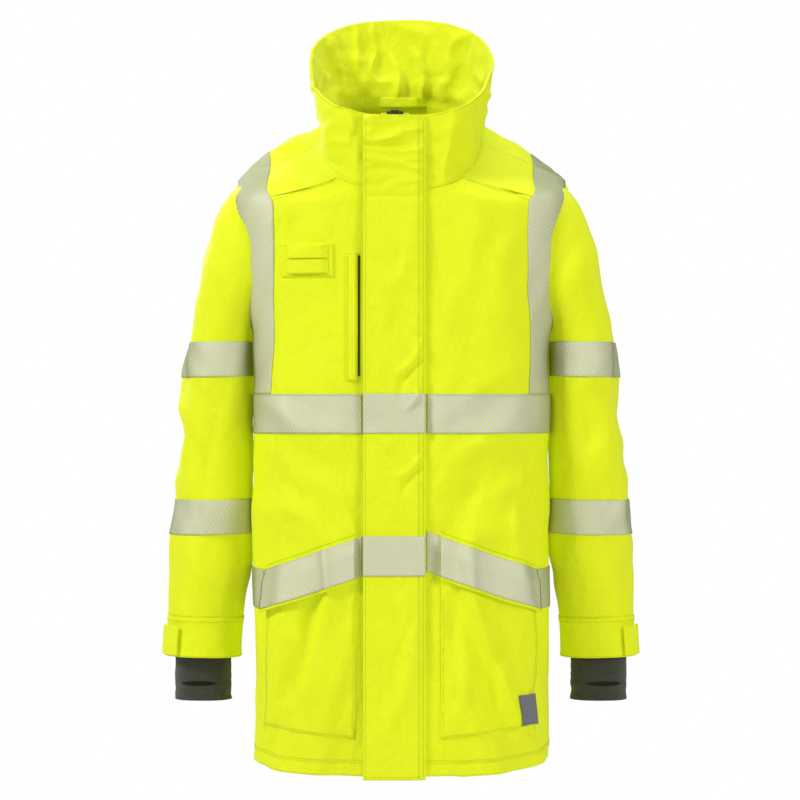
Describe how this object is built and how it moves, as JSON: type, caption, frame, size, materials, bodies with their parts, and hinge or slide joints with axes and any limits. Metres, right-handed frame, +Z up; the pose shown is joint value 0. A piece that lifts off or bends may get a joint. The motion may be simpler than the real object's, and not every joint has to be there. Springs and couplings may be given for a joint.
{
  "type": "foul weather jacket",
  "caption": "Thigh-length high-visibility foul weather jacket with storm collar, zip under a storm flap, flap pockets, silver reflective tapes and stretch inner cuffs.",
  "frame": {"origin": "middle of the hanger loop's strap, inside the back neck", "axes": "+X towards the wearer's left, -Y towards the wearer's front, +Z up along the hanging jacket"},
  "size_m": [0.618, 0.2759, 0.9844],
  "materials": {
    "shell_cloth": "woven, coated, slight sheen",
    "collar_lining_cloth": "soft woven",
    "reflective_tape": "segmented silver film, satin",
    "lining_cloth": "smooth taffeta",
    "stretch_cuff_cloth": "matt stretch knit",
    "zip_tape_cloth": "woven tape",
    "zip_tape_dark": "woven, dark",
    "zip_plastic": "moulded",
    "label_cloth": "woven label",
    "size_label_cloth": "plain woven label",
    "hook_and_loop": "napped"
  },
  "bodies": {
    "coat_body": {"back_panel": "shell_cloth", "back_yoke": "shell_cloth", "brace_tape_left": "reflective_tape", "brace_tape_right": "reflective_tape", "chest_pocket_bag": "lining_cloth", "chest_pocket_facing": "zip_tape_dark", "chest_pocket_welt": "shell_cloth", "chest_tape_back": "reflective_tape", "chest_tape_left": "reflective_tape", "chest_tape_right": "reflective_tape", "collar_lining": "collar_lining_cloth", "collar_outer": "shell_cloth", "front_panel_left": "shell_cloth", "front_panel_right": "shell_cloth", "hanger_loop": "shell_cloth", "lining_back": "lining_cloth", "lining_front_left": "lining_cloth", "lining_front_right": "lining_cloth", "panel_loop_strip": "hook_and_loop", "pocket_patch_left": "shell_cloth", "pocket_patch_right": "shell_cloth", "radio_loop_lower": "shell_cloth", "radio_loop_upper": "shell_cloth", "radio_patch": "shell_cloth", "shoulder_yoke_left": "shell_cloth", "shoulder_yoke_right": "shell_cloth", "side_label": "label_cloth", "size_label": "size_label_cloth", "waist_tape_back": "reflective_tape", "zip_box": "zip_plastic", "zip_chain_left": "zip_plastic", "zip_chain_right": "zip_plastic", "zip_tape_left": "zip_tape_cloth", "zip_tape_right": "zip_tape_cloth"},
    "storm_flap": {"storm_flap": "shell_cloth", "flap_hook_strip": "hook_and_loop", "flap_chest_tape": "reflective_tape", "flap_waist_tape": "reflective_tape"},
    "pocket_flap_right": {"pocket_flap_right": "shell_cloth", "pocket_flap_tape_right": "reflective_tape"},
    "pocket_flap_left": {"pocket_flap_left": "shell_cloth", "pocket_flap_tape_left": "reflective_tape"},
    "zip_slider": {"zip_slider": "zip_plastic", "zip_pull": "zip_plastic"},
    "sleeve_left": {"cuff_left": "shell_cloth", "cuff_loop_patch_left": "hook_and_loop", "inner_cuff_left": "stretch_cuff_cloth", "sleeve_left": "shell_cloth", "sleeve_lower_tape_left": "reflective_tape", "sleeve_upper_tape_left": "reflective_tape"},
    "cuff_tab_left": {"cuff_tab_left": "shell_cloth"},
    "sleeve_right": {"cuff_loop_patch_right": "hook_and_loop", "cuff_right": "shell_cloth", "inner_cuff_right": "stretch_cuff_cloth", "sleeve_lower_tape_right": "reflective_tape", "sleeve_right": "shell_cloth", "sleeve_upper_tape_right": "reflective_tape"},
    "cuff_tab_right": {"cuff_tab_right": "shell_cloth"}
  },
  "joints": [
    {"name": "storm_flap_hinge", "type": "hinge", "parent": "coat_body", "child": "storm_flap", "pos_m": [0.031, -0.20333, -0.45187], "axis": [0, 0.0422, 0.9991], "range_deg": [0, 105]},
    {"name": "pocket_flap_right_hinge", "type": "hinge", "parent": "coat_body", "child": "pocket_flap_right", "pos_m": [-0.12055, -0.19675, -0.58503], "axis": [-0.8884, 0.3287, -0.3204], "range_deg": [0, 110]},
    {"name": "pocket_flap_left_hinge", "type": "hinge", "parent": "coat_body", "child": "pocket_flap_left", "pos_m": [0.1166, -0.19788, -0.58361], "axis": [-0.8948, -0.3084, 0.3227], "range_deg": [0, 110]},
    {"name": "zip_slide", "type": "slide", "parent": "coat_body", "child": "zip_slider", "axis": [0, 0.0422, 0.9991], "range_m": [-0.79, 0]},
    {"name": "sleeve_left_raise", "type": "hinge", "parent": "coat_body", "child": "sleeve_left", "pos_m": [0.206, -0.07355, -0.1055], "axis": [0, -1, 0], "range_deg": [0, 40]},
    {"name": "sleeve_right_raise", "type": "hinge", "parent": "coat_body", "child": "sleeve_right", "pos_m": [-0.206, -0.07355, -0.1055], "axis": [0, 1, 0], "range_deg": [0, 40]},
    {"name": "cuff_tab_left_hinge", "type": "hinge", "parent": "sleeve_left", "child": "cuff_tab_left", "pos_m": [0.30811, -0.07355, -0.7035], "axis": [-0.0588, 0, 0.9983], "range_deg": [0, 120]},
    {"name": "cuff_tab_right_hinge", "type": "hinge", "parent": "sleeve_right", "child": "cuff_tab_right", "pos_m": [-0.30811, -0.07355, -0.7035], "axis": [-0.0588, 0, -0.9983], "range_deg": [0, 120]}
  ]
}
